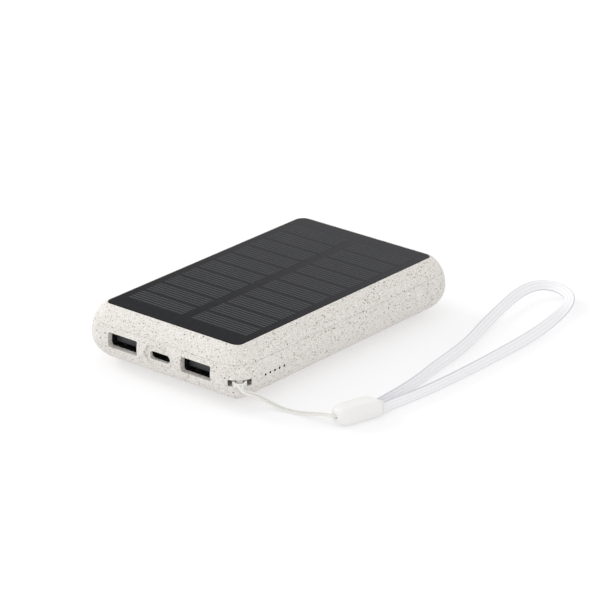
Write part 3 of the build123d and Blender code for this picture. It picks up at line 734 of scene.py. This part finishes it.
def finger_paint():
    """Printed silver, dulled by the resin over it, and darker toward the back, fading into the painted sheen
    there.
    """
    paint = Paint("finger_silver", (0.17, 0.173, 0.178), 0.45, 0.2, Specular_IOR_Level=0.1)
    front = paint.blend(paint.noise(2200.0, 3.0), (0.120, 0.123, 0.128), (0.185, 0.189, 0.195))
    # the fingers turn darker toward the back, fading into the painted sheen on the cells
    paint.colour(paint.blend(painted_sheen_toward_back(paint), front, (0.070, 0.073, 0.078)))
    return paint.material


def cord_paint():
    """Pale polyester yarn, with painted shade, greyish brown, in the crevices between its strands."""
    paint = Paint("cord_yarn", (0.78, 0.775, 0.74), 0.8, Specular_IOR_Level=0.2)
    fibre = paint.noise(5000.0, 3.0)
    crest = paint.blend(fibre, (0.73, 0.725, 0.685), (0.87, 0.865, 0.84))
    depth = paint.add("ShaderNodeAttribute")
    depth.attribute_name = "lay_depth"
    # painted shade: points deep in the lay, between the strands, turn greyish brown
    paint.colour(paint.blend(paint.ramp(depth.outputs["Fac"], 0.35, 0.80), (0.42, 0.36, 0.30), crest))
    paint.bump(fibre, 0.4, 0.04 * MM)
    return paint.material


def strap_paint():
    """Flat weave: fine cross threads in bands along the strap, with painted shade in the grooves between the bands
    and along both selvedges.
    """
    paint = Paint("strap_weave", (0.80, 0.80, 0.815), 0.75, Specular_IOR_Level=0.25)
    where = paint.add("ShaderNodeAttribute")
    where.attribute_name = "weave"
    on_strap = paint.split(where.outputs["Vector"])  # X along it and Y across it, in mm
    half_width = STRAP_WIDTH / MM / 2
    cross = paint.maths("SINE", paint.maths("MULTIPLY", on_strap["X"], 2 * math.pi / WEFT_PITCH))
    rows = paint.maths("SINE", paint.maths("MULTIPLY", on_strap["Y"], 2 * math.pi / WARP_PITCH))
    weave = paint.maths("MULTIPLY", cross, rows)
    fuzz = paint.noise(4000.0, 3.0)
    tone = paint.blend(paint.ramp(weave, -1.0, 1.0), (0.79, 0.79, 0.805), (0.86, 0.86, 0.872))
    tone = paint.blend(paint.maths("MULTIPLY", fuzz, 0.3), tone, (0.93, 0.93, 0.935))
    ribs = paint.maths("COSINE", paint.maths("MULTIPLY", on_strap["Y"], 3 * math.pi / half_width / 2))
    # painted shade in the grooves between the ribs
    groove = paint.ramp(paint.maths("MULTIPLY", ribs, ribs), 0.25, 0.0)
    tone = paint.blend(paint.maths("MULTIPLY", groove, 0.4), tone, (0.67, 0.67, 0.70))
    # painted shade along both selvedges
    edge = paint.ramp(paint.maths("ABSOLUTE", on_strap["Y"]), 0.84 * half_width, 0.93 * half_width)
    tone = paint.blend(paint.maths("MULTIPLY", edge, 0.75), tone, (0.52, 0.52, 0.56))
    paint.colour(tone)
    height = paint.maths("ADD", paint.maths("MULTIPLY", weave, 0.5), paint.maths("MULTIPLY", fuzz, 0.4))
    paint.bump(height, 0.5, 0.05 * MM)
    return paint.material


def clasp_paint():
    """Warm white moulded plastic with a faint flow pattern."""
    paint = Paint("clasp_plastic", (0.84, 0.83, 0.81), 0.42, Specular_IOR_Level=0.3)
    flow = paint.noise(300.0, 4.0)
    paint.colour(paint.blend(flow, (0.765, 0.758, 0.742), (0.805, 0.798, 0.785)))
    paint.bump(paint.noise(2500.0, 3.0), 0.15, 0.04 * MM)
    paint.vary_roughness(paint.noise(700.0, 2.0), 0.34, 0.46)
    return paint.material


def plain_paint(name, dark, light, roughness, metallic=0.0, grain=1500.0, bump=0.15, **sockets):
    """A moulded, printed or plated surface whose colour and gloss vary between two tones."""
    paint = Paint(name, light, roughness, metallic, **sockets)
    tone = paint.noise(grain, 4.0)
    paint.colour(paint.blend(tone, dark, light))
    paint.bump(paint.noise(grain * 2, 3.0), bump, 0.04 * MM)
    paint.vary_roughness(paint.noise(grain / 2, 3.0), roughness * 0.85, min(1.0, roughness * 1.15))
    return paint.material


def slot_paints():
    """One material for each of the record's material slots."""
    return {
        "case": case_plastic(),
        "tape": plain_paint("tape", (0.66, 0.63, 0.50), (0.74, 0.71, 0.58), 0.6),
        "panel_board": plain_paint("panel_board", (0.015, 0.016, 0.018), (0.03, 0.031, 0.034), 0.4),
        "solar_cell": cell_paint(),
        "panel_cover": panel_laminate_paint(),
        "wire_red": plain_paint("wire_red", (0.40, 0.02, 0.015), (0.50, 0.03, 0.02), 0.45),
        "wire_black": plain_paint("wire_black", (0.012, 0.012, 0.012), (0.025, 0.025, 0.025), 0.45),
        "pouch": plain_paint("pouch_foil", (0.48, 0.49, 0.51), (0.62, 0.63, 0.65), 0.35, 0.85, 400.0, 0.4),
        "foam": plain_paint("foam", (0.02, 0.02, 0.02), (0.05, 0.05, 0.05), 0.95, grain=3000.0, bump=0.9),
        "nickel": plain_paint("nickel", (0.50, 0.49, 0.45), (0.62, 0.61, 0.57), 0.3, 1.0),
        "circuit_board": plain_paint("solder_mask", (0.008, 0.085, 0.035), (0.012, 0.12, 0.05), 0.32),
        "chip": plain_paint("chip_moulding", (0.015, 0.015, 0.017), (0.03, 0.03, 0.033), 0.6),
        "screw": plain_paint("screw_zinc", (0.45, 0.45, 0.47), (0.6, 0.6, 0.62), 0.3, 1.0),
        "socket_shell": plain_paint("socket_shell", (0.020, 0.020, 0.022), (0.045, 0.045, 0.048), 0.28, 0.6),
        "socket_insulator": plain_paint("socket_nylon", (0.015, 0.016, 0.019), (0.027, 0.029, 0.034), 0.3),
        "contact": plain_paint("contact_gold", (0.60, 0.43, 0.16), (0.75, 0.56, 0.24), 0.25, 1.0),
        "led": plain_paint("led_lens", (0.018, 0.020, 0.024), (0.035, 0.038, 0.044), 0.2),
        "inductor": plain_paint("ferrite", (0.04, 0.04, 0.044), (0.08, 0.08, 0.085), 0.7, bump=0.5),
        "capacitor": plain_paint("ceramic", (0.33, 0.22, 0.12), (0.42, 0.29, 0.17), 0.35),
        "switch": plain_paint("switch_body", (0.012, 0.012, 0.013), (0.028, 0.028, 0.03), 0.45),
        "plunger": plain_paint("plunger", (0.50, 0.48, 0.42), (0.6, 0.58, 0.52), 0.5),
        "cord": cord_paint(),
        "clasp": clasp_paint(),
        "strap": strap_paint(),
    }


def dress(paints):
    """Give every CAD node and every new piece its material."""
    slot_of = {part["node"]: part["material_slot"] for part in frame["record"]["subparts"]}
    for name, node in frame["nodes"].items():
        node.data.materials.clear()
        node.data.materials.append(paints[slot_of[name]])
    for piece, paint in [
        (cord, paints["cord"]),
        (strap, paints["strap"]),
        (clasp, paints["clasp"]),
        (laminate, paints["panel_cover"]),
        (plates, paints["solar_cell"]),
        (finger_lines, finger_paint()),
    ]:
        piece.data.materials.append(paint)


dress(slot_paints())


# ---------------------------------------------------------------- floor and light
FLOOR_SIZE = 6.0
FLOOR_THICKNESS = 0.01
FLOOR_GLOW = 0.46


def make_stage():
    """A bright sweep: it reflects about half of the light and is lit from behind for the rest."""
    floor = boxes("floor", [(-FLOOR_SIZE, FLOOR_SIZE, -FLOOR_SIZE, FLOOR_SIZE, -FLOOR_THICKNESS, 0.0)])
    paint = Paint("floor_paper", (0.50, 0.50, 0.505), 0.9, Specular_IOR_Level=0.05)
    paint.colour(paint.blend(paint.noise(40.0, 3.0), (0.495, 0.495, 0.50), (0.505, 0.505, 0.51)))
    paint.shader.inputs["Emission Color"].default_value = (1.0, 1.0, 1.0, 1.0)
    paint.shader.inputs["Emission Strength"].default_value = FLOOR_GLOW
    floor.data.materials.append(paint.material)


def make_world(strength):
    world = bpy.data.worlds.new("studio")
    world.use_nodes = True
    background = world.node_tree.nodes["Background"]
    background.inputs["Color"].default_value = (1.0, 1.0, 1.0, 1.0)
    background.inputs["Strength"].default_value = strength
    scene.world = world


def add_softbox(name, place, size, power):
    """A square soft light that faces the object."""
    data = bpy.data.lights.new(name, "AREA")
    data.shape = "SQUARE"
    data.size = size
    data.energy = power
    light = bpy.data.objects.new(name, data)
    light.location = place
    light.rotation_euler = (-Vector(place)).to_track_quat("-Z", "Y").to_euler()
    scene.collection.objects.link(light)


make_stage()
make_world(1.0)
add_softbox("key", (-1.10, -0.15, 0.62), 0.45, 5.0)
add_softbox("fill", (0.50, -1.00, 0.35), 1.0, 1.5)
scene.view_settings.view_transform = "Standard"
